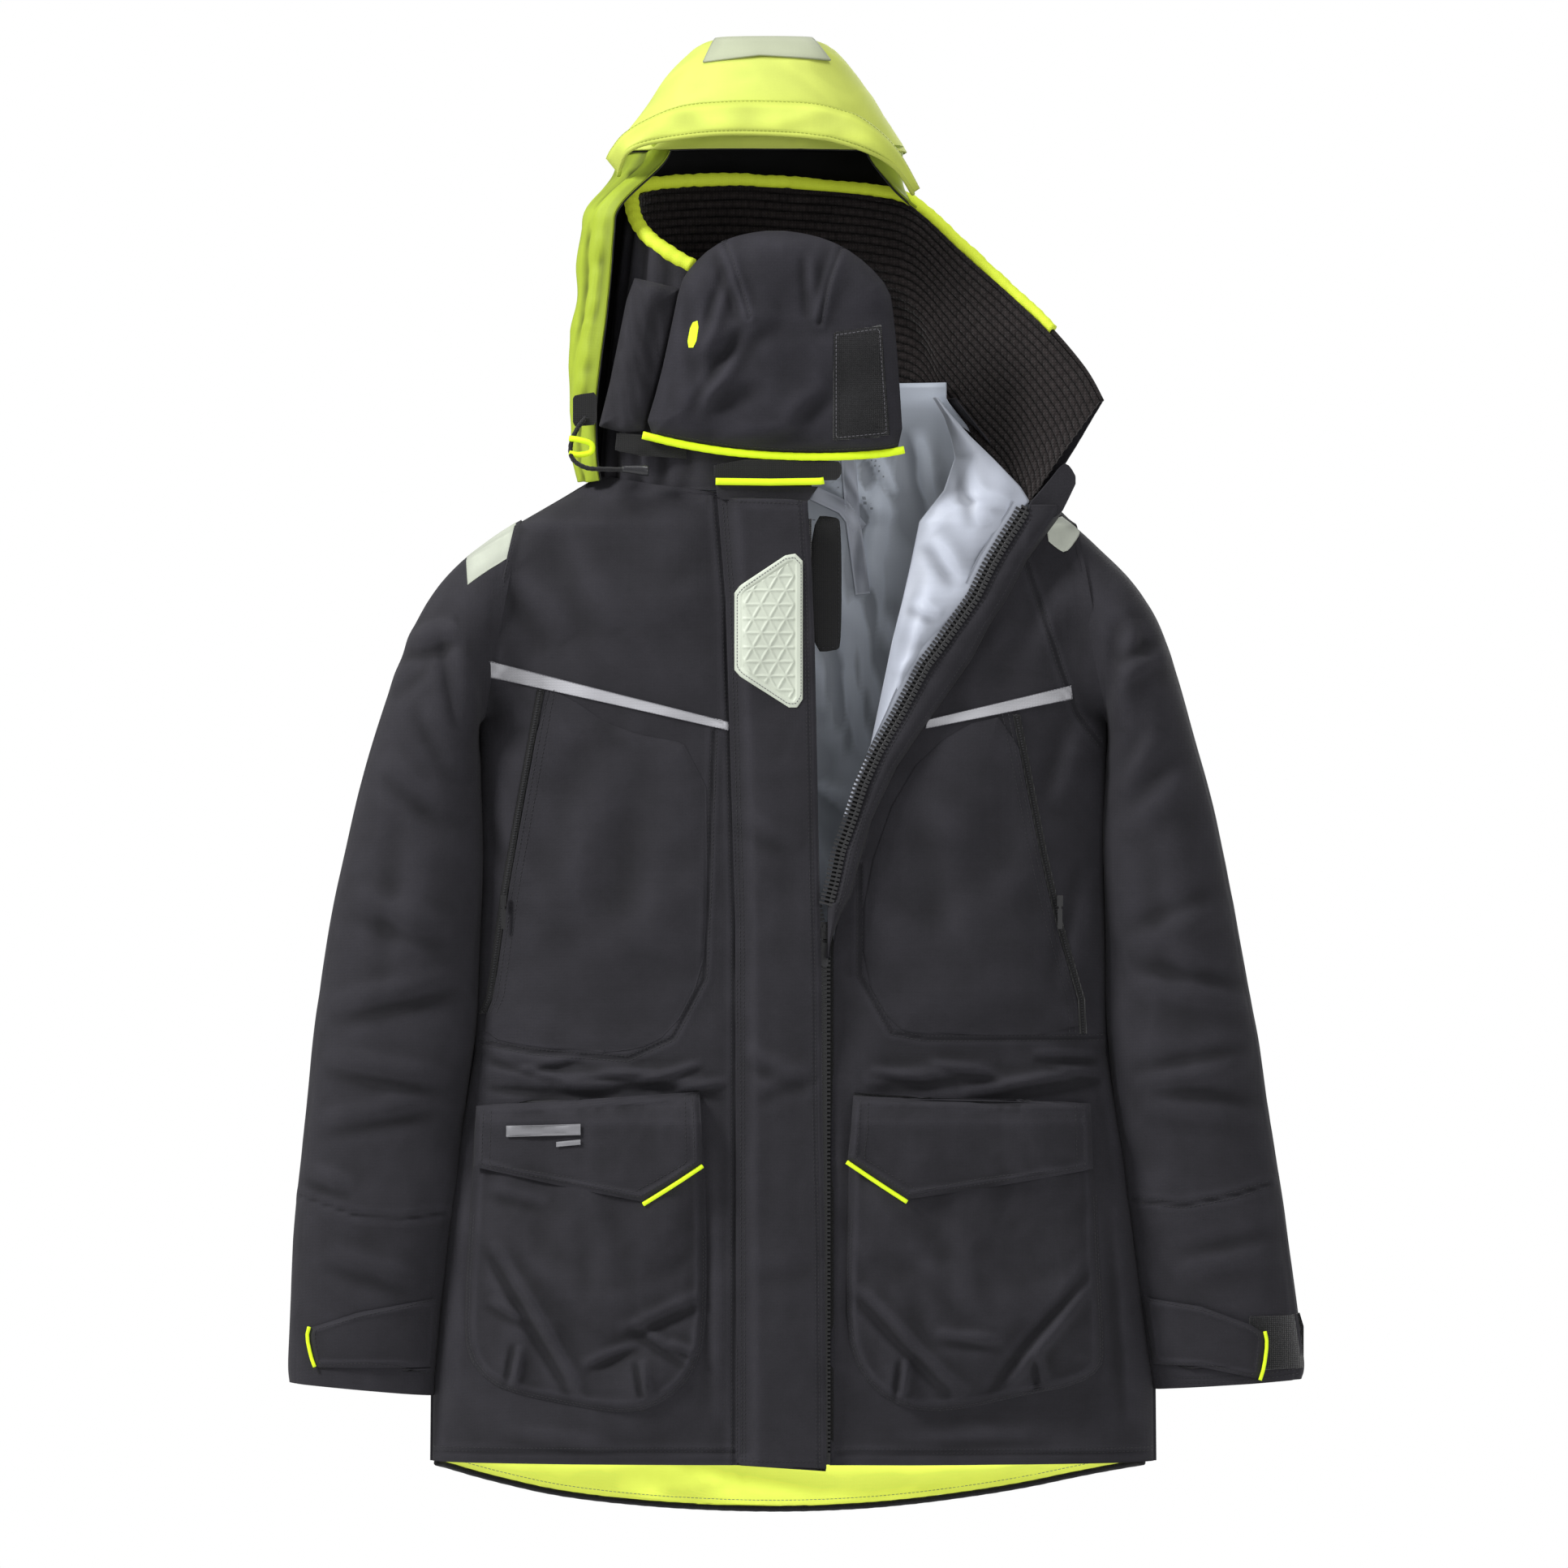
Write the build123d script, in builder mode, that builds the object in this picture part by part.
"""Offshore foul weather jacket, hanging upright from its neck loop, front towards -Y.

Millimetres. +Z is up and +X is the wearer's left. Piece names use the wearer's left and right;
"left" and "right" of an outline are its -X and +X sides, as seen from the front. Every piece is
designed about the jacket's mid plane (y = 0) and is moved when saved, so that the origin is the
centre of the hang loop's eye at the back of the neck.
"""

from build123d import *
import math
import os

# ---------------------------------------------------------------- driving dimensions
LOOP_Y = 50.0  # hang loop eye behind the mid plane
LOOP_R = 7.0  # radius of the hang loop's eye
LOOP_W = 8.0  # width of the hang loop tape
SHELL = 2.0  # laminated shell panel
LINING = 1.2  # inner lining layer
LINING_GAP = 4.5  # between shell and lining
LIFT = 0.3  # panels and pockets stand this far off the body, in y
CORD_R = 1.5  # radius of every cord

D_HEM, D_NECK = 82.0, 66.0  # half depth of the body at the hem and at the neck
Z_HEM, Z_NECK = -870.0, -70.0
ROUND = 2.6  # exponent of the body's cross-section

# height, left edge, right edge of the body
LEVELS = [
    (-870.7, -298.7, 298.0),
    (-613.3, -278.0, 273.3),
    (-533.3, -264.0, 258.7),
    (-273.3, -259.3, 258.0),
    (-233.3, -260.0, 258.7),
    (-167.3, -243.3, 244.7),
    (-100.0, -222.0, 228.0),
    (-80.0, -192.0, 210.0),
    (-70.0, -157.3, 194.7),
    (-40.0, -118.7, 171.3),
    (6.7, -85.3, 134.7),
]

os.makedirs("parts", exist_ok=True)


def save(part, label):
    """Move a piece so that the loop's eye is the origin, and write it."""
    placed = part.moved(Location((0, -LOOP_Y, 0)))
    placed.label = label
    export_step(placed, f"parts/{label}.step")


# ---------------------------------------------------------------- shape of the body
def along(points):
    """x of an edge given as (x, z) points, as a function of height."""
    points = sorted(points, key=lambda point: point[1])

    def x_at(z):
        if z <= points[0][1]:
            return points[0][0]
        for (x0, z0), (x1, z1) in zip(points, points[1:]):
            if z0 <= z <= z1:
                t = (z - z0) / (z1 - z0)
                return x0 + t * (x1 - x0)
        return points[-1][0]

    return x_at


left_edge = along([(left, z) for z, left, _ in LEVELS])
right_edge = along([(right, z) for z, _, right in LEVELS])


def section(z):
    """Middle x and half width of the body at height z."""
    left, right = left_edge(z), right_edge(z)
    return (left + right) / 2, (right - left) / 2


LEAN = (D_HEM - D_NECK) / (Z_NECK - Z_HEM)  # slope of the centre front


def depth_at_middle(z):
    return D_NECK + LEAN * (Z_NECK - z)


def half_depth(x, z):
    middle, half = section(z)
    ratio = min(abs(x - middle) / half, 1.0)
    return depth_at_middle(z) * (1 - ratio**ROUND) ** 0.5


def surface_point(x, z, side, offset, lift):
    """A point of the body's outline at height z, moved out along the normal, then by lift."""
    middle, half = section(z)
    t = max(-1.0, min(1.0, (x - middle) / half))
    depth = depth_at_middle(z)
    y = depth * max(0.0, 1 - abs(t) ** ROUND) ** 0.5
    normal_x = ROUND * abs(t) ** (ROUND - 1) * (1 if t > 0 else -1) / half
    normal_y = 2 * y / depth**2
    length = math.hypot(normal_x, normal_y)
    return (
        middle + t * half + normal_x / length * offset,
        side * (y + normal_y / length * offset + lift),
    )


def body_layer(rows, inner, outer, side=-1, steps=8, lift=0.0):
    """A layer of the body between two offsets, on the front (side -1) or the back (side 1).

    Rows are (height, left, right); each is divided into steps of equal angle.
    """
    with BuildPart() as layer:
        for z, left, right in rows:
            middle, half = section(z)
            start = math.acos(max(-1.0, min(1.0, -(left - middle) / half)))
            stop = math.acos(max(-1.0, min(1.0, -(right - middle) / half)))
            xs = [
                middle - half * math.cos(start + (stop - start) * i / steps)
                for i in range(steps + 1)
            ]
            near = [surface_point(x, z, side, inner, lift) for x in xs]
            far = [surface_point(x, z, side, outer, lift) for x in xs]
            with BuildSketch(Plane.XY.offset(z)):
                with BuildLine():
                    Polyline(*far, *near[::-1], close=True)
                make_face()
        loft(ruled=True)
    return layer.part


def body_rows(levels, left=left_edge, right=right_edge, inset=0.0):
    return [(z, left(z) + inset, right(z) - inset) for z in levels]


# ---------------------------------------------------------------- flat pieces and cords
def plate(plane, points, thick):
    """A polygon drawn on a plane and thickened along its normal."""
    with BuildPart() as piece:
        with BuildSketch(plane):
            with BuildLine():
                Polyline(*points, close=True)
            make_face()
        extrude(amount=thick)
    return piece.part


def upright_plate(points, y, thick):
    """A plate of (x, z) points facing front, from y towards -Y."""
    return plate(Plane.XZ.offset(-y), points, thick)


def upright_pad(centre, size, corner, y, thick):
    """A rounded rectangle facing front, from y towards -Y."""
    with BuildPart() as pad:
        with BuildSketch(Plane.XZ.offset(-y)):
            with Locations(centre):
                RectangleRounded(*size, corner)
        extrude(amount=thick)
    return pad.part


def level_cord(points, z):
    """A cord through (x, y) points at one height."""
    with BuildPart() as cord:
        with BuildLine(Plane.XY.offset(z)) as path:
            Spline(*points)
        with BuildSketch(Plane(origin=path.line @ 0, z_dir=path.line % 0)):
            Circle(CORD_R)
        sweep()
    return cord.part


# ---------------------------------------------------------------- body panels
PANEL_HEM = -868.7
BREAKS = [row[0] for row in LEVELS[1:-1]]  # heights where the body's edge bends
BACK_LEVELS = [PANEL_HEM, *BREAKS, 4.7]
LINING_LEVELS = [-860.0, *BREAKS, 0.0]
LINING_INSET = 14.0  # lining stops short of each side seam
RIGHT_FRONT_LEVELS = [PANEL_HEM, *BREAKS[:6], -74.7]
LEFT_FRONT_LEVELS = [
    PANEL_HEM, -613.3, -533.3, -453.3, -373.3, -306.7, -261.3, -210.0, -156.7, -97.3,
]
# (x, z) down the centre edge of the right front
RIGHT_FRONT_EDGE = [(14.7, PANEL_HEM), (12.0, -400.0), (9.3, -72.0)]
# (x, z) down the edge of the left front, whose upper part is rolled open
OPEN_EDGE = [
    (206.7, -96.7), (174.7, -156.7), (141.3, -210.0), (108.0, -261.3), (81.3, -306.7),
    (66.7, -340.0), (56.0, -373.3), (44.7, -406.7), (29.3, -453.3), (29.3, PANEL_HEM),
]

# back panel: one piece from hem to neck seam
save(body_layer(body_rows(BACK_LEVELS), -SHELL, 0.0, side=1, lift=LIFT), "back_panel")

lining_face = -SHELL - LINING_GAP
save(
    body_layer(
        body_rows(LINING_LEVELS, inset=LINING_INSET), lining_face - LINING, lining_face, side=1
    ),
    "back_lining",
)

front_rows = {
    "right": body_rows(RIGHT_FRONT_LEVELS, right=along(RIGHT_FRONT_EDGE)),
    "left": body_rows(LEFT_FRONT_LEVELS, left=along(OPEN_EDGE)),
}
for wearer_side, rows in front_rows.items():
    save(body_layer(rows, -SHELL, 0.0, steps=6, lift=LIFT), f"front_panel_{wearer_side}")

# ---------------------------------------------------------------- dropped tail and hem
TAIL_Y = D_HEM - 18
BINDING_EXTRA = 1.0  # binding is thicker than the facing by this
# (x, z) along the facing's lower edge
TAIL_LOW = [
    (-288.7, -872.0), (-252.0, -882.7), (-185.3, -898.7), (-92.0, -908.0), (0.0, -910.7),
    (88.0, -905.3), (181.3, -892.0), (241.3, -878.7), (281.3, -872.0),
]
# (x, z) along the binding's lower edge
TAIL_EDGE = [
    (-295.3, -872.0), (-252.0, -887.3), (-185.3, -903.3), (-92.0, -912.7), (0.0, -915.3),
    (88.0, -910.0), (181.3, -896.7), (241.3, -882.7), (289.3, -872.0),
]
# the binding's upper edge just clears the facing
BINDING_TOP = [
    (TAIL_LOW[0][0] - 1.5, TAIL_LOW[0][1]),
    *[(x, z - 1.0) for x, z in TAIL_LOW[1:-1]],
    (TAIL_LOW[-1][0] + 1.5, TAIL_LOW[-1][1]),
]

with BuildPart() as tail_facing:
    with BuildSketch(Plane.XZ.offset(-TAIL_Y)):
        with BuildLine():
            Spline(*TAIL_LOW)
            Line(TAIL_LOW[-1], TAIL_LOW[0])
        make_face()
    extrude(amount=-SHELL)
save(tail_facing.part, "tail_facing")

with BuildPart() as hem_binding:
    with BuildSketch(Plane.XZ.offset(-TAIL_Y)):
        with BuildLine():
            Spline(*TAIL_EDGE)
            Line(TAIL_EDGE[-1], BINDING_TOP[-1])
            Spline(*BINDING_TOP)
            Line(BINDING_TOP[0], TAIL_EDGE[0])
        make_face()
    extrude(amount=-SHELL - BINDING_EXTRA)
save(hem_binding.part, "hem_binding")

# cord inside the hem of the wearer's right front, as (x, y)
HEM_CORD_Z = -864.0
HEM_CORD = [(-278.7, -15), (-225.3, -50), (-118.7, -70), (4.7, -73)]
save(level_cord(HEM_CORD, HEM_CORD_Z), "hem_drawcord")

# cord inside the back at the waist
WAIST_Z = -545.3
WAIST_CORD_INSET = 16
WAIST_CORD = [(x, half_depth(x, WAIST_Z) - WAIST_CORD_INSET) for x in (-215, -120, 0, 120, 215)]
save(level_cord(WAIST_CORD, WAIST_Z), "waist_drawcord")

# ---------------------------------------------------------------- reflective stripes
STRIPE_GAP, STRIPE_THICK = 2.4, 1.0
# x, lower edge, upper edge
STRIPES = {
    "right": [
        (-254.0, -222.0, -210.7), (-244.0, -224.7, -212.0), (-225.3, -228.7, -216.7),
        (-185.3, -237.3, -226.7), (-132.0, -248.7, -240.0), (-54.0, -266.0, -260.0),
    ],
    "left": [
        (125.3, -260.7, -254.0), (174.7, -250.7, -242.7), (214.7, -242.7, -233.3),
        (229.3, -240.0, -230.0),
    ],
}


def tape_across(stations):
    """A narrow tape across the front of the body."""
    with BuildPart() as tape:
        for x, low, high in stations:
            low_y = -half_depth(x, low) - STRIPE_GAP
            high_y = -half_depth(x, high) - STRIPE_GAP
            with BuildSketch(Plane.YZ.offset(x)):
                with BuildLine():
                    Polyline(
                        (low_y, low), (high_y, high),
                        (high_y - STRIPE_THICK, high), (low_y - STRIPE_THICK, low),
                        close=True,
                    )
                make_face()
        loft(ruled=True)
    return tape.part


for wearer_side, stations in STRIPES.items():
    save(tape_across(stations), f"reflective_stripe_{wearer_side}")

# ---------------------------------------------------------------- pockets and their flaps
POCKET_BACK = 2.0  # offset of a pocket's inner face from the body
HANDWARMER_FACE = 4.4  # offset of a hand warmer pocket's outer face
CARGO_FACE = 13.0  # offset of a cargo pocket's outer face
FLAP_OVER = 18.5  # the flap clears the full pocket under it
FLAP_THICK, FLAP_PIPING_THICK = 2.4, 2.6

# height, left, right for all the tables below; hand warmer pockets slant along the opening
HANDWARMERS = {
    "right": [
        (-533.3, -185.3, -138.7), (-514.7, -240.0, -106.7), (-498.7, -242.7, -90.7),
        (-463.3, -240.0, -72.0), (-380.0, -225.3, -70.0), (-270.0, -204.0, -68.0),
    ],
    "left": [
        (-519.3, 101.3, 230.7), (-514.7, 81.3, 232.0), (-470.0, 57.3, 226.7),
        (-393.3, 58.7, 204.0), (-316.7, 90.7, 189.3), (-266.7, 124.0, 181.3),
    ],
}
CARGO_POCKETS = {
    "right": [
        (-828.0, -170.7, -138.7), (-812.0, -224.0, -100.0), (-781.3, -266.7, -76.0),
        (-706.7, -264.0, -73.3), (-584.0, -257.3, -78.7),
    ],
    "left": [
        (-825.3, 94.7, 125.3), (-810.0, 66.7, 204.0), (-783.3, 46.7, 250.7),
        (-693.3, 44.0, 245.3), (-584.0, 48.0, 237.3),
    ],
}
POCKET_FLAPS = {
    "right": [
        (-652.0, -130.0, -120.7), (-638.7, -196.7, -100.0), (-631.3, -233.3, -88.7),
        (-624.7, -262.7, -78.0), (-566.7, -261.3, -76.0),
    ],
    "left": [
        (-650.7, 91.3, 97.3), (-640.7, 76.7, 162.7), (-634.7, 68.0, 202.0),
        (-628.7, 59.3, 244.0), (-618.7, 44.7, 245.3), (-566.7, 47.3, 244.0),
    ],
}
FLAP_PIPINGS = {
    "right": [(-652.7, -118.7, -114.7), (-638.7, -97.3, -93.3), (-625.3, -76.7, -72.7)],
    "left": [(-651.3, 84.7, 88.7), (-628.7, 52.0, 56.0), (-620.7, 40.0, 44.0)],
}
RUNNERS = {"right": (-238.7, -406.7), "left": (218.7, -406.7)}  # (x, z) of each zip runner
RUNNER_GAP = 9.5


def zip_runner(x, z):
    """Runner of a hand warmer pocket's zip, with its pull hanging below."""
    y = -(half_depth(x, z) + RUNNER_GAP)
    with BuildPart() as runner:
        with Locations((x, y, z)):
            Box(4.5, 2.5, 9.0)
        with Locations((x, y - 1.0, z - 13)):
            Box(3.5, 1.2, 20.0)
        # round the two bottom corners of the pull
        fillet(runner.edges().filter_by(Axis.Y).sort_by(Axis.Z)[:2], 1.4)
    return runner.part


for wearer_side in ("right", "left"):
    save(
        body_layer(HANDWARMERS[wearer_side], POCKET_BACK, HANDWARMER_FACE, lift=LIFT),
        f"handwarmer_pocket_{wearer_side}",
    )
    save(
        body_layer(CARGO_POCKETS[wearer_side], POCKET_BACK, CARGO_FACE, lift=LIFT),
        f"cargo_pocket_{wearer_side}",
    )
    save(
        body_layer(POCKET_FLAPS[wearer_side], FLAP_OVER, FLAP_OVER + FLAP_THICK),
        f"pocket_flap_{wearer_side}",
    )
    save(
        body_layer(
            FLAP_PIPINGS[wearer_side], FLAP_OVER, FLAP_OVER + FLAP_PIPING_THICK, steps=1
        ),
        f"pocket_flap_piping_{wearer_side}",
    )
    save(zip_runner(*RUNNERS[wearer_side]), f"handwarmer_zip_runner_{wearer_side}")

# ---------------------------------------------------------------- centre front planes
LEAN_SIN, LEAN_COS = math.sin(math.atan(LEAN)), math.cos(math.atan(LEAN))


def front_y(z, gap):
    """y at height z, gap in front of the body's middle line."""
    return -(depth_at_middle(z) + gap)


def front_plate(points, gap, thick):
    """A plate of (x, z) points on the leaning plane of the centre front."""
    plane = Plane(
        origin=(0, front_y(0, gap), 0), x_dir=(1, 0, 0), z_dir=(0, -LEAN_COS, LEAN_SIN)
    )
    return plate(plane, [(x, z / LEAN_COS) for x, z in points], thick)


def strip(x0, x1, z0, z1):
    return [(x0, z0), (x1, z0), (x1, z1), (x0, z1)]


# the open half of the zip, the facing and the placket lie in one slanted upright plane
LAP_X0, LAP_X1, LAP_Y0, LAP_Y1 = 27.0, 189.0, -86.0, -54.0
LAP_LENGTH = math.hypot(LAP_X1 - LAP_X0, LAP_Y1 - LAP_Y0)
LAP_COS, LAP_SIN = (LAP_X1 - LAP_X0) / LAP_LENGTH, (LAP_Y1 - LAP_Y0) / LAP_LENGTH
LAP = Plane(
    origin=(LAP_X0, LAP_Y0, 0), x_dir=(LAP_COS, LAP_SIN, 0), z_dir=(LAP_SIN, -LAP_COS, 0)
)


def in_lap(points, shift=0.0):
    """(x, z) points in the slanted plane's own coordinates, shifted along it."""
    return [((x - LAP_X0) / LAP_COS + shift, z) for x, z in points]


# (x, z) down the open zip, the rolled edge of the facing and the outer edge of the placket
ZIP_LINE = [
    (186.7, -88.0), (161.3, -131.3), (131.3, -178.7), (101.3, -226.7), (76.0, -272.0),
    (59.3, -306.7), (46.7, -343.3), (36.7, -380.0), (30.7, -408.0),
]
ROLL_LINE = [
    (123.3, -74.0), (113.3, -106.7), (100.0, -136.7), (89.3, -172.0), (77.3, -212.0),
    (69.3, -245.3), (61.3, -283.3), (54.7, -310.0),
]
PLACKET_LINE = [
    (229.3, -66.7), (212.0, -100.0), (177.3, -158.7), (145.3, -210.0), (112.0, -260.0),
    (86.7, -305.3), (69.3, -340.0), (57.3, -372.0), (45.3, -406.7), (34.7, -440.0),
]
FACING = in_lap(ROLL_LINE) + in_lap(ZIP_LINE[:5], -5.0)[::-1]
PLACKET = in_lap(ZIP_LINE, 10.5) + in_lap(PLACKET_LINE)[::-1]
save(plate(LAP, FACING, 0.9), "front_facing_left")
save(plate(LAP, PLACKET, 3.0), "placket_left")

# ---------------------------------------------------------------- front zip
TAPE_FOOT, TEETH_FOOT = -858.7, -857.3
TAPE_TOP_RIGHT, TEETH_TOP_RIGHT = -93.3, -106.7
CLOSED_TOP_LEFT = -455.3  # the left half is straight below this height
TAPE_RIGHT = (15.3, 19.3)  # x of each tape's edges
TAPE_LEFT = (26.7, 30.7)
TAPE_GAP, TAPE_THICK, OPEN_TAPE_THICK = 1.2, 1.0, 0.9
OPEN_TAPE = (1.0, 9.0)  # the open tape's edges beside the zip line
TEETH_GAP, TEETH_THICK = 0.9, 2.2
OPEN_TEETH_OFFSET, OPEN_TEETH_THICK = -0.6, 2.4
TEETH_CLEARANCE = 0.2  # teeth stand clear of the tape's edge
TOOTH_PITCH = 5.0
TOOTH_WIDTH = TOOTH_PITCH * 0.45
TOOTH_TIP = 3.0
TOOTH_ROOT, OPEN_TOOTH_ROOT = 1.4, 1.2


def teeth_comb(edge_x, direction, z0, z1, shift=0.0):
    """Outline of a straight row of teeth."""
    root_x = edge_x + direction * TOOTH_ROOT
    tip_x = edge_x + direction * TOOTH_TIP
    points = [(edge_x, z0), (root_x, z0)]
    z = z0 + 1.0 + shift
    while z + TOOTH_WIDTH < z1 - 0.5:
        top = z + TOOTH_WIDTH
        points += [(root_x, z), (tip_x, z), (tip_x, top), (root_x, top)]
        z += TOOTH_PITCH
    return points + [(root_x, z1), (edge_x, z1)]


def curved_comb(line):
    """Outline of a row of teeth along a bent line, in the slanted plane."""
    base = in_lap(line)
    # walk the line in steps of about 0.5
    dense = []
    for (u0, v0), (u1, v1) in zip(base, base[1:]):
        count = max(1, int(math.hypot(u1 - u0, v1 - v0) // 0.5))
        dense += [
            (u0 + (u1 - u0) * i / count, v0 + (v1 - v0) * i / count) for i in range(count)
        ]
    dense.append(base[-1])
    toothed, travelled, level = [], 0.0, OPEN_TOOTH_ROOT
    for (u0, v0), (u1, v1) in zip(dense, dense[1:]):
        step = math.hypot(u1 - u0, v1 - v0)
        normal_u, normal_v = (v1 - v0) / step, -(u1 - u0) / step
        on_tooth = travelled % TOOTH_PITCH < TOOTH_WIDTH
        wanted = TOOTH_TIP if on_tooth else OPEN_TOOTH_ROOT
        if wanted != level:
            for height in (level, wanted):
                toothed.append((u0 + normal_u * height, v0 + normal_v * height))
            level = wanted
        travelled += step
    return toothed + base[::-1]


save(
    front_plate(strip(*TAPE_RIGHT, TAPE_FOOT, TAPE_TOP_RIGHT), TAPE_GAP, TAPE_THICK),
    "zip_tape_right",
)
teeth_right = teeth_comb(TAPE_RIGHT[1] + TEETH_CLEARANCE, 1, TEETH_FOOT, TEETH_TOP_RIGHT)
save(front_plate(teeth_right, TEETH_GAP, TEETH_THICK), "zip_teeth_right")

# each left piece has an open part in the slanted plane and a straight part below it
open_tape = in_lap(ZIP_LINE, OPEN_TAPE[0]) + in_lap(ZIP_LINE, OPEN_TAPE[1])[::-1]
with BuildPart() as zip_tape_left:
    add(plate(LAP, open_tape, OPEN_TAPE_THICK))
    add(front_plate(strip(*TAPE_LEFT, TAPE_FOOT, CLOSED_TOP_LEFT), TAPE_GAP, TAPE_THICK))
save(zip_tape_left.part, "zip_tape_left")

# shifted by half a pitch to mesh with the right row
teeth_left = teeth_comb(
    TAPE_LEFT[0] - TEETH_CLEARANCE, -1, TEETH_FOOT, CLOSED_TOP_LEFT, shift=TOOTH_PITCH / 2
)
with BuildPart() as zip_teeth_left:
    add(plate(LAP.offset(OPEN_TEETH_OFFSET), curved_comb(ZIP_LINE), OPEN_TEETH_THICK))
    add(front_plate(teeth_left, TEETH_GAP, TEETH_THICK))
save(zip_teeth_left.part, "zip_teeth_left")

SLIDER_X, SLIDER_Z = 25.3, -430.7
SLIDER_Y = front_y(SLIDER_Z, 2.2)
PLATE_OUT, PLATE_THICK = 1.6, 1.2  # slider plate in front of SLIDER_Y
PIVOT_Y, PIVOT_Z = SLIDER_Y - 3.8, SLIDER_Z + 2  # cross pin of the pull tab

# plate with a bridge in front of it, bored across for the pin
with BuildPart() as zip_slider:
    with BuildSketch(Plane.XZ.offset(-SLIDER_Y + PLATE_OUT)):
        with Locations((SLIDER_X, SLIDER_Z)):
            RectangleRounded(9.0, 14.0, 2.5)
    extrude(amount=PLATE_THICK)
    with BuildSketch(Plane.XZ.offset(-SLIDER_Y + PLATE_OUT + PLATE_THICK)):
        with Locations((SLIDER_X, PIVOT_Z)):
            Rectangle(2.4, 6.0)
    extrude(amount=2.4)
    with Locations(Location((SLIDER_X, PIVOT_Y, PIVOT_Z), (0, 90, 0))):
        Hole(0.75, depth=10)
save(zip_slider.part, "zip_slider")

# the pull tab hangs by two arms from the pin through the slider's bridge
PULL_WIDTH, PULL_THICK, PULL_ARM = 5.8, 1.3, 1.2
with BuildPart() as zip_puller:
    with Locations(Location((SLIDER_X, PIVOT_Y, PIVOT_Z), (0, 90, 0))):
        Cylinder(0.68, PULL_WIDTH)
    for side in (-1, 1):
        arm_x = SLIDER_X + side * (PULL_WIDTH - PULL_ARM) / 2
        with Locations((arm_x, PIVOT_Y, SLIDER_Z - 4)):
            Box(PULL_ARM, PULL_THICK, 13.0)
    with Locations((SLIDER_X, PIVOT_Y, SLIDER_Z - 20)):
        Box(PULL_WIDTH, PULL_THICK, 20.0)
    # round the two bottom corners
    fillet(zip_puller.edges().filter_by(Axis.Y).sort_by(Axis.Z)[:2], 2.6)
save(zip_puller.part, "zip_puller")

# block at the foot of the zip
ZIP_FOOT = -860.0
save(
    upright_pad(
        (SLIDER_X, ZIP_FOOT - 4.5), (9.0, 8.0), 1.5, y=front_y(ZIP_FOOT - 6, 1.0), thick=3.0
    ),
    "zip_retainer",
)

# ---------------------------------------------------------------- storm flaps and tabs
# inner flap behind the zip
save(front_plate(strip(4.7, 23.3, TEETH_FOOT, TAPE_TOP_RIGHT), -6.5, 1.2), "inner_storm_flap")
save(upright_pad((27.3, -146.0), (24.0, 112.0), 11, y=-56, thick=1.5), "chest_fastening_tab")
save(upright_pad((-10.65, -54.7), (98.7, 21.3), 5, y=-72, thick=2.0), "throat_tab")

# outer flap over the centre front, with a badge on it and hook strips behind it
FLAP_SEAM_X = -48.7
FLAP_LEFT = FLAP_SEAM_X + 0.5
FLAP_FOOT = -870.7
FLAP_GAP = 7.0  # base stand-off of the flap's parts from the body
STORM_FLAP = [
    (FLAP_LEFT, -71.3), (14.7, -72.7), (18.7, -266.7), (20.7, -446.7), (22.7, -533.3),
    (26.7, FLAP_FOOT), (FLAP_LEFT, FLAP_FOOT),
]
FLAP_BADGE = [
    (-48.0, -154.0), (-5.3, -121.3), (6.7, -126.7), (7.3, -245.3), (0.0, -248.7),
    (-46.7, -218.7),
]
# foot and top of each hook strip
HOOK_STRIPS = [
    (-146.7, -93.3), (-340.0, -286.7), (-526.7, -473.3), (-706.7, -653.3), (-853.3, -800.0),
]
save(front_plate(STORM_FLAP, FLAP_GAP + 4, 2.6), "storm_flap")
save(front_plate(FLAP_BADGE, FLAP_GAP + 6.9, 1.4), "storm_flap_badge")
with BuildPart() as storm_flap_hook_strips:
    for foot, top in HOOK_STRIPS:
        add(front_plate(strip(-2.0, 14.7, foot, top), FLAP_GAP + 2.4, 1.2))
save(storm_flap_hook_strips.part, "storm_flap_hook_strips")

# ---------------------------------------------------------------- collar
COLLAR_X = 14.7  # middle of the neck
# foot (x, y), foot z, rim (x, y), rim z; from the wearer's right front round the back to the
# left front edge
COLLAR = [
    ((14.7, -68), -68.7, (14.7, -62), 106.7),
    ((-72.0, -62), -68.7, (-77.3, -58), 113.3),
    ((-125.3, -40), -66.7, (-117.3, -42), 133.3),
    ((-154.7, 0), -61.3, (-132.7, 0), 166.7),
    ((-125.3, 42), -46.7, (-108.7, 45), 184.0),
    ((-65.3, 66), -13.3, (-52.0, 62), 185.3),
    ((14.7, 70), 10.7, (14.7, 66), 185.3),
    ((88.0, 60), 16.0, (89.3, 46), 173.3),
    ((140.0, 40), -2.0, (168.0, 20), 113.3),
    ((182.7, -2), -40.0, (216.0, -10), 65.3),
    ((196.0, -42), -80.0, (252.0, -38), 3.3),
]
PIPING_RADIUS, PIPING_LIFT = 2.6, 4.2


def neighbours(rows, i):
    """The rows before and after row i, or row i itself at an end."""
    return rows[max(0, i - 1)], rows[min(len(rows) - 1, i + 1)]


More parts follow.
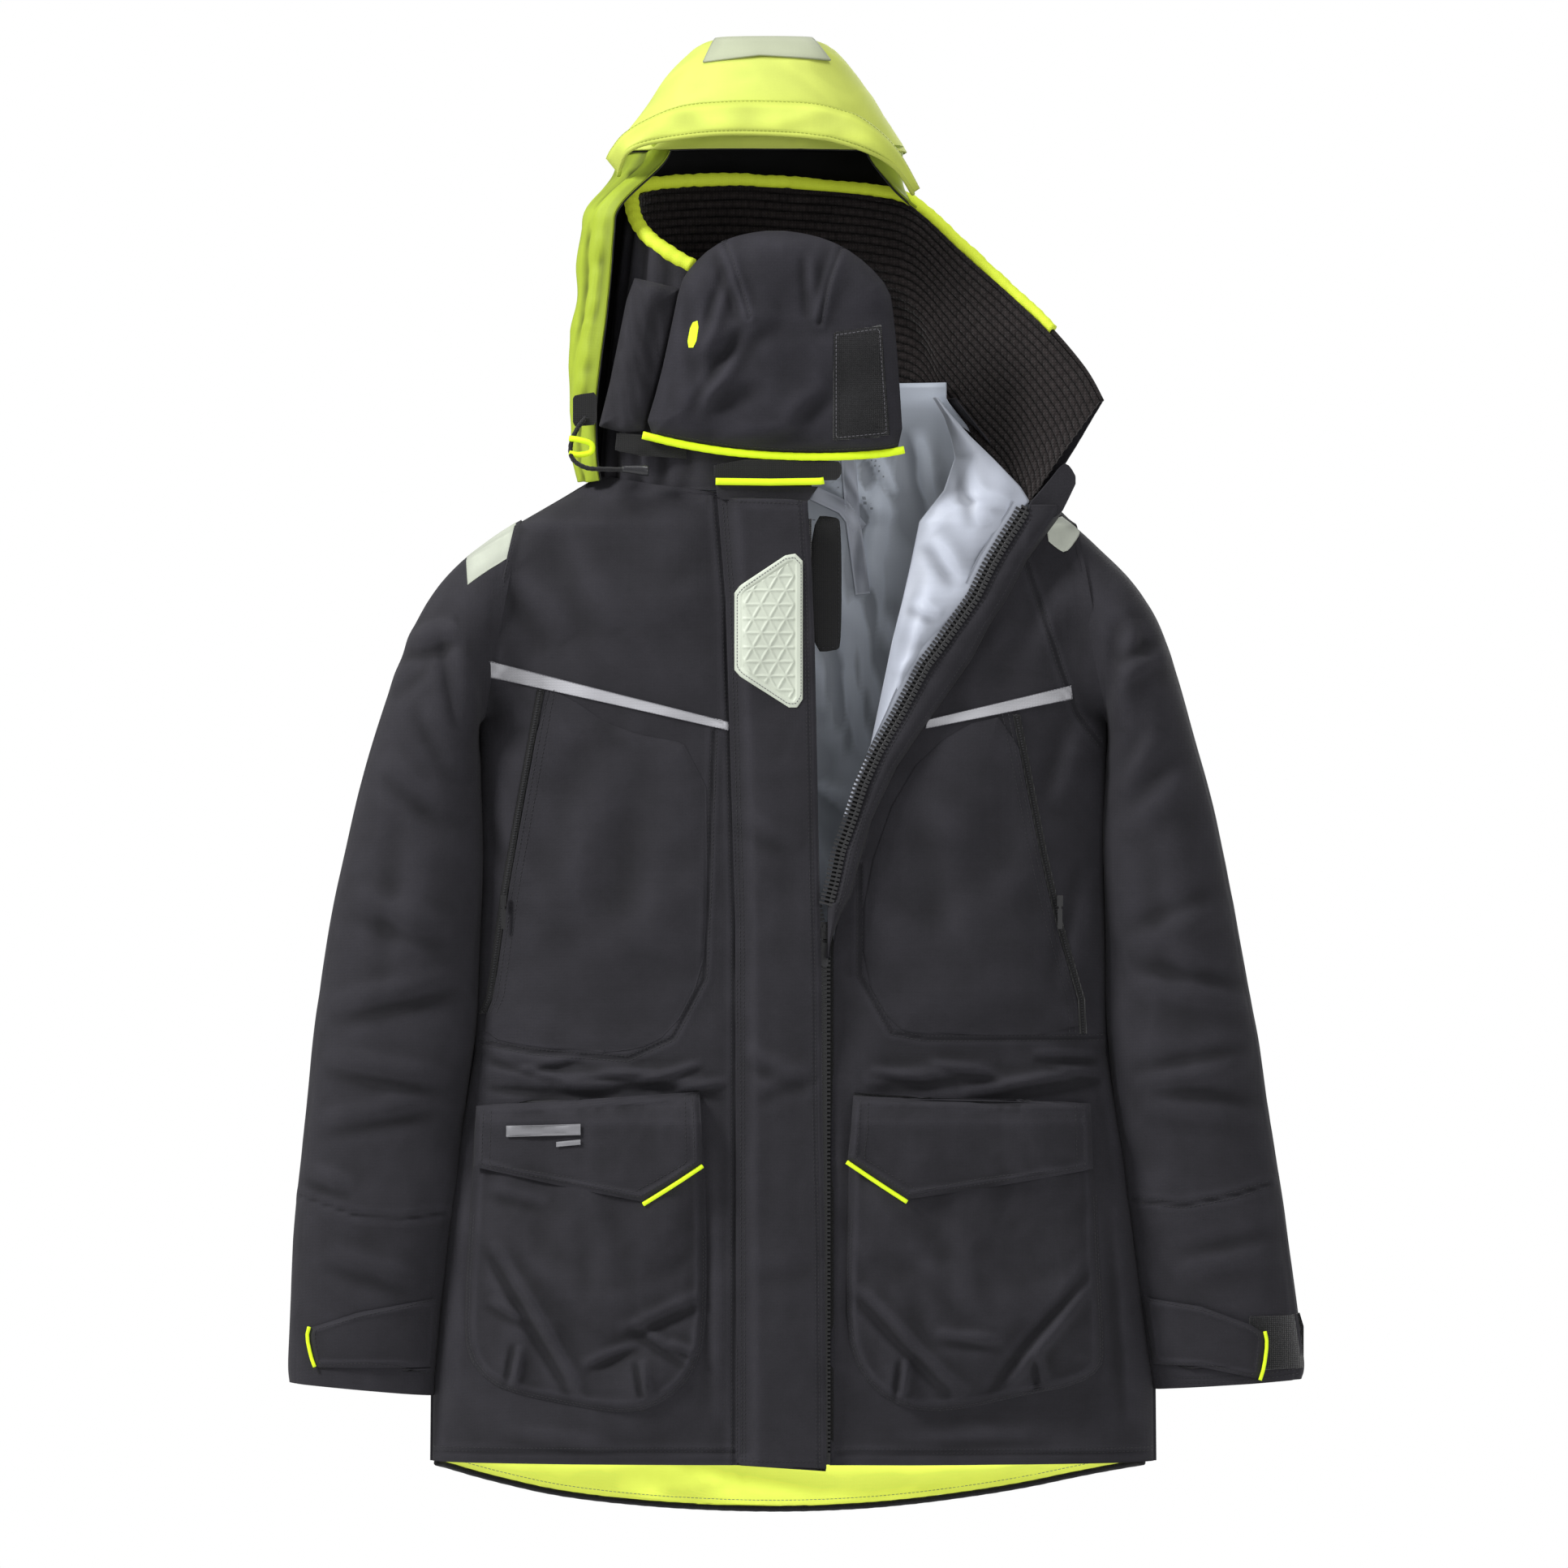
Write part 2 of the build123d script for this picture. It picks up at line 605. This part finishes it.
def collar_band(stations, offset, thick):
    """A wall that follows the collar, its inner face offset outward from the stations."""
    with BuildPart() as band:
        for i, (foot, foot_z, rim, rim_z) in reversed(list(enumerate(stations))):
            before, after = neighbours(stations, i)
            tangent = Vector(
                after[0][0] - before[0][0], after[0][1] - before[0][1], 0
            ).normalized()
            slope = Vector(rim[0] - foot[0], rim[1] - foot[1], rim_z - foot_z)
            up = slope.normalized()
            out = up.cross(tangent).normalized()
            if out.dot(Vector(foot[0] - COLLAR_X, foot[1], 0)) < 0:
                out = out * -1
            origin = Vector(*foot, foot_z) + out * (offset + thick / 2)
            with BuildSketch(Plane(origin=origin, x_dir=out, z_dir=out.cross(up))):
                Rectangle(thick, slope.length, align=(Align.CENTER, Align.MIN))
        loft(ruled=True)
    return band.part


save(collar_band(COLLAR, 0.0, 2.0), "collar_shell")
save(collar_band(COLLAR[1:], -3.4, 3.0), "collar_fleece")

piped = COLLAR[1:10]
with BuildPart() as collar_piping:
    for i, (_, _, rim, rim_z) in enumerate(piped):
        before, after = neighbours(piped, i)
        tangent = Vector(*after[2], after[3]) - Vector(*before[2], before[3])
        with BuildSketch(Plane(origin=(*rim, rim_z + PIPING_LIFT), z_dir=tangent)):
            Circle(PIPING_RADIUS)
    loft(ruled=True)
save(collar_piping.part, "collar_piping")

# ---------------------------------------------------------------- face guard
GUARD_Y = -84.0  # back face of the guard
GUARD_THICK = 5.0
# (x, z) outlines
GUARD = [
    (-123.3, -23.3), (-115.3, 6.7), (-105.3, 40.0), (-95.3, 83.3), (-85.3, 110.0),
    (-65.3, 130.0), (-42.0, 139.3), (-12.0, 143.3), (21.3, 140.0), (44.7, 129.3),
    (64.7, 110.0), (78.7, 92.0), (83.3, 66.7), (86.7, 26.7), (89.3, -34.7),
    (68.0, -40.0), (14.7, -43.3), (-38.7, -40.0), (-85.3, -32.7),
]
GUARD_PATCH = [(32.0, 58.7), (72.7, 65.3), (77.3, -26.7), (30.7, -29.3)]
GUARD_PIPING = [
    (-122.7, -24.7), (-85.3, -34.0), (-38.7, -41.3), (14.7, -44.7), (68.0, -41.3),
    (89.3, -36.0), (89.3, -39.3), (68.0, -46.0), (14.7, -49.3), (-38.7, -46.0),
    (-85.3, -38.7), (-122.7, -28.7),
]
save(upright_plate(GUARD, GUARD_Y, GUARD_THICK), "face_guard")
save(upright_plate(GUARD_PATCH, GUARD_Y - GUARD_THICK - 0.3, 1.4), "face_guard_hook_patch")
save(upright_plate(GUARD_PIPING, GUARD_Y - 0.6, 3.6), "face_guard_piping")

# ---------------------------------------------------------------- hood
HOOD_WALL = 2.2
# height, left, right, back, y of the left arm's front end, y of the right arm's front end
HOOD = [
    (-60.0, -174.7, 189.3, 96, -38, 56),
    (-26.7, -181.3, 198.7, 102, -46, 54),
    (13.3, -183.3, 204.7, 108, -52, 52),
    (66.7, -182.7, 196.0, 114, -56, 54),
    (113.3, -178.7, 168.7, 118, -58, 58),
    (153.3, -173.3, 134.7, 118, -60, 50),
    (190.0, -162.7, 104.0, 116, -60, 15),
    (216.7, -144.0, 89.3, 112, -60, -55),
]
# height, left, right, front, back
CROWN = [
    (220.0, -141.3, 86.7, -70, 110),
    (250.0, -120.7, 68.0, -64, 104),
    (276.7, -100.7, 49.3, -48, 90),
    (294.7, -81.3, 33.3, -30, 72),
    (303.3, -65.3, 20.0, -12, 52),
]


def arm_points(left, right, back, left_front, right_front, inset):
    """Open outline of the side wall, from the left arm round the back to the right arm."""
    width = right - left
    return [
        (left + 6 + inset, left_front),
        (left + inset, left_front * 0.35),
        (left + 0.06 * width + inset * 0.9, back * 0.42),
        (left + 0.22 * width + inset * 0.6, back * 0.82 - inset * 0.6),
        ((left + right) / 2, back - inset),
        (right - 0.22 * width - inset * 0.6, back * 0.86 - inset * 0.6),
        (
            right - 0.05 * width - inset * 0.9,
            right_front + (back - right_front) * 0.45 - inset * 0.3,
        ),
        (right - inset, right_front),
    ]


with BuildPart() as hood_side_wall:
    for z, *outline in HOOD:
        outer = arm_points(*outline, 0)
        inner = arm_points(*outline, HOOD_WALL)
        with BuildSketch(Plane.XY.offset(z)):
            with BuildLine():
                Polyline(*outer, *inner[::-1], close=True)
            make_face()
    loft(ruled=True)
save(hood_side_wall.part, "hood_side_wall")


def rounded_power(value):
    return math.copysign(abs(value) ** 0.8, value)


def dome(inset):
    """The crown as a solid; the inset one is lower on top and cuts 1 mm past the foot."""
    with BuildPart() as cap:
        for i, (z, left, right, front, back) in enumerate(CROWN):
            if i == len(CROWN) - 1:
                z -= inset
            if i == 0 and inset:
                z -= 1.0
            middle_x, middle_y = (left + right) / 2, (front + back) / 2
            radius_x, radius_y = (right - left) / 2 - inset, (back - front) / 2 - inset
            ring = [
                (
                    middle_x + radius_x * rounded_power(math.cos(math.pi * k / 8)),
                    middle_y + radius_y * rounded_power(math.sin(math.pi * k / 8)),
                )
                for k in range(16)
            ]
            with BuildSketch(Plane.XY.offset(z)):
                with BuildLine():
                    Polyline(*ring, close=True)
                make_face()
        loft(ruled=True)
    return cap.part


with BuildPart() as hood_crown:
    add(dome(0.0))
    add(dome(HOOD_WALL), mode=Mode.SUBTRACT)
save(hood_crown.part, "hood_crown")

# (x, z) along the upper and lower edges of the peak
PEAK_TOP = [
    (-144.0, 219.3), (-118.7, 232.0), (-78.7, 244.7), (-32.0, 250.0), (14.7, 245.3),
    (54.7, 231.3), (81.3, 209.3), (101.3, 182.7),
]
PEAK_LOW = [
    (-138.7, 212.7), (-115.3, 216.0), (-78.7, 220.7), (-32.0, 222.7), (14.7, 220.0),
    (53.3, 208.0), (78.0, 192.7), (98.7, 176.0),
]
PEAK_Y = -72
with BuildPart() as hood_peak:
    with BuildSketch(Plane.XZ.offset(-PEAK_Y)):
        with BuildLine():
            Spline(*PEAK_TOP)
            Line(PEAK_TOP[-1], PEAK_LOW[-1])
            Spline(*PEAK_LOW[::-1])
            Line(PEAK_LOW[0], PEAK_TOP[0])
        make_face()
    extrude(amount=14)
save(hood_peak.part, "hood_peak")

# badge lying just above the crown's flat top
crown_top, crown_left, crown_right = CROWN[-1][:3]
with BuildPart() as hood_badge:
    with BuildSketch(Plane.XY.offset(crown_top + 0.5)):
        with Locations(((crown_left + crown_right) / 2, 18)):
            RectangleRounded(62, 42, 4)
    extrude(amount=1.4)
save(hood_badge.part, "hood_badge")

CORD_TAB = strip(-170.7 - 4.5, -170.7 + 4.5, -7.0, 7.0)
save(upright_plate(CORD_TAB, -54, 2.5), "hood_cord_tab")

# ---------------------------------------------------------------- hood cord and its lock
CORD_Y, CORD_Z = -76.0, -52.7  # the cord's straight run at the throat
with BuildPart() as hood_cord:
    with BuildLine() as cord_path:
        bend = Spline(
            (-179.3, -62, -13.3), (-183.3, -68, -33.3), (-177.3, -74, -48.0),
            (-165.3, CORD_Y, CORD_Z),
            tangents=((-0.1, -0.2, -1), (1, 0, 0)),
        )
        Line(bend @ 1, (-120.7, CORD_Y, CORD_Z))
    with BuildSketch(Plane(origin=cord_path.line @ 0, z_dir=cord_path.line % 0)):
        Circle(CORD_R)
    sweep()
save(hood_cord.part, "hood_cord")

LOCK_START, LOCK_END = -138.0, -122.0  # x of the lock's narrow and wide ends


def across_cord(x):
    """Plane square to the cord's straight run."""
    return Plane(origin=(x, CORD_Y, CORD_Z), x_dir=(0, 1, 0), z_dir=(1, 0, 0))


with BuildPart() as cord_lock:
    with BuildSketch(across_cord(LOCK_START)):
        Circle(2.8)
    with BuildSketch(across_cord(LOCK_END)):
        Circle(4.6)
    loft()
    # chamfer the wide end
    chamfer(cord_lock.edges().filter_by(GeomType.CIRCLE).sort_by(Axis.X)[-1], 0.8)
    # bore for the cord
    with BuildSketch(across_cord(LOCK_START - 1)):
        Circle(1.8)
    extrude(amount=30, mode=Mode.SUBTRACT)
save(cord_lock.part, "cord_lock")

# ---------------------------------------------------------------- back of the neck
with BuildPart() as hang_loop:
    with BuildSketch(Plane.XZ):
        Circle(LOOP_R + 1.5)
        with Locations((0, -LOOP_R - 6)):
            Rectangle(5.0, 14)
        Circle(LOOP_R, mode=Mode.SUBTRACT)
    extrude(amount=LOOP_W / 2, both=True)
save(hang_loop.part.moved(Location((0, LOOP_Y, 0))), "hang_loop")

save(upright_pad((0, -38), (46, 26), 2, y=LOOP_Y, thick=-1.0), "neck_label")

# ---------------------------------------------------------------- sleeves and inner cuffs
# outer edge (x, z), inner edge (x, z), half depth; from shoulder to cuff
SLEEVES = {
    "right": [
        ((-237.3, -98.7), (-266.0, -230.0), 60),
        ((-278.7, -136.0), (-268.7, -253.3), 58),
        ((-315.3, -193.3), (-266.7, -286.7), 56),
        ((-344.0, -270.0), (-265.3, -323.3), 54),
        ((-367.3, -366.7), (-264.7, -383.3), 53),
        ((-390.7, -486.7), (-268.0, -496.7), 51),
        ((-405.3, -620.0), (-283.3, -626.7), 46),
        ((-412.7, -733.3), (-296.7, -738.7), 42),
        ((-415.3, -804.0), (-304.0, -813.3), 40),
    ],
    "left": [
        ((244.7, -112.0), (263.3, -233.3), 60),
        ((276.0, -141.3), (265.3, -253.3), 58),
        ((305.3, -193.3), (263.3, -286.7), 56),
        ((330.7, -270.0), (262.7, -323.3), 54),
        ((356.7, -366.7), (262.0, -383.3), 53),
        ((378.7, -486.7), (264.0, -496.7), 51),
        ((398.7, -620.0), (280.0, -626.7), 46),
        ((413.3, -733.3), (292.7, -738.7), 42),
        ((420.7, -800.0), (305.3, -810.0), 40),
    ],
}


def sleeve_solid(stations, inset, extend):
    """Fourteen-sided oval sections, inset all round and extended at both ends."""
    with BuildPart() as solid:
        for i, ((outer_x, outer_z), (inner_x, inner_z), depth) in enumerate(stations):
            width = math.hypot(inner_x - outer_x, inner_z - outer_z)
            across_x, across_z = (inner_x - outer_x) / width, (inner_z - outer_z) / width
            # square to the section
            if across_x < 0:
                axis_x, axis_z = -across_z, across_x
            else:
                axis_x, axis_z = across_z, -across_x
            shift = extend * (1 if i == len(stations) - 1 else -1 if i == 0 else 0)
            origin = (
                (outer_x + inner_x) / 2 + axis_x * shift,
                0,
                (outer_z + inner_z) / 2 + axis_z * shift,
            )
            ring = [
                (
                    (width / 2 - inset) * math.cos(math.pi * k / 7),
                    (depth - inset) * math.sin(math.pi * k / 7),
                )
                for k in range(14)
            ]
            plane = Plane(
                origin=origin, x_dir=(across_x, 0, across_z), z_dir=(axis_x, 0, axis_z)
            )
            with BuildSketch(plane):
                with BuildLine():
                    Polyline(*ring, close=True)
                make_face()
        loft(ruled=True)
    return solid.part


def tube(stations):
    """A sleeve, hollow right through."""
    with BuildPart() as sleeve:
        add(sleeve_solid(stations, 0.0, 0.0))
        add(sleeve_solid(stations, SHELL, 0.5), mode=Mode.SUBTRACT)
    return sleeve.part


def between(a, b, t):
    return (a[0] + (b[0] - a[0]) * t, a[1] + (b[1] - a[1]) * t)


def inner_cuff(stations):
    """A narrower tube inside the sleeve's last section."""
    (outer0, inner0, depth0), (outer1, inner1, depth1) = stations[-2:]
    rows = []
    for t in (0.25, 0.9):
        outer, inner = between(outer0, outer1, t), between(inner0, inner1, t)
        depth = (depth0 + (depth1 - depth0) * t) * 0.80
        rows.append((between(outer, inner, 0.09), between(outer, inner, 0.91), depth))
    return tube(rows)


for wearer_side, stations in SLEEVES.items():
    save(tube(stations), f"sleeve_{wearer_side}")
    save(inner_cuff(stations), f"inner_cuff_{wearer_side}")

# ---------------------------------------------------------------- cuff tabs, shoulder patches
TAB_Y, TAB_THICK = -47, 2.0
LOOP_PATCH_Y, LOOP_PATCH_THICK = -44.5, 1.8
# (x, z) outlines
CUFF_TABS = {
    "right": [
        (-302.7, -734.0), (-338.7, -740.0), (-393.3, -758.0), (-394.7, -788.7),
        (-365.3, -790.7), (-304.0, -796.0),
    ],
    "left": [
        (301.3, -737.3), (348.0, -746.7), (383.3, -760.0), (386.7, -766.7),
        (383.3, -798.0), (348.0, -790.7), (302.7, -788.0),
    ],
}
# the patch behind each tab, at the sleeve's outer edge
LOOP_PATCHES = {
    "right": [(-416.0, -758.0), (-390.7, -756.0), (-390.7, -791.3), (-416.0, -792.7)],
    "left": [(371.3, -748.0), (417.3, -748.0), (419.3, -793.3), (371.3, -796.0)],
}
# (x, z) of the left and right ends of the shoulder line under each patch
SHOULDERS = {
    "right": ((-270.7, -128.0), (-237.3, -98.7)),
    "left": ((244.7, -112.0), (274.7, -140.0)),
}
PATCH_GAP = 1.2


def shoulder_patch(start, end):
    """A badge lying over the shoulder's top edge."""
    length = math.hypot(end[0] - start[0], end[1] - start[1])
    along_x, along_z = (end[0] - start[0]) / length, (end[1] - start[1]) / length
    normal_x, normal_z = -along_z, along_x
    origin = (
        (start[0] + end[0]) / 2 + normal_x * PATCH_GAP,
        -6,
        (start[1] + end[1]) / 2 + normal_z * PATCH_GAP,
    )
    plane = Plane(origin=origin, x_dir=(along_x, 0, along_z), z_dir=(normal_x, 0, normal_z))
    with BuildPart() as patch:
        with BuildSketch(plane):
            RectangleRounded(length * 0.92, 48, 5)
        extrude(amount=1.4)
    return patch.part


for wearer_side in ("right", "left"):
    save(
        upright_plate(CUFF_TABS[wearer_side], TAB_Y, TAB_THICK),
        f"cuff_tab_{wearer_side}",
    )
    save(
        upright_plate(LOOP_PATCHES[wearer_side], LOOP_PATCH_Y, LOOP_PATCH_THICK),
        f"cuff_loop_patch_{wearer_side}",
    )
    save(shoulder_patch(*SHOULDERS[wearer_side]), f"shoulder_patch_{wearer_side}")
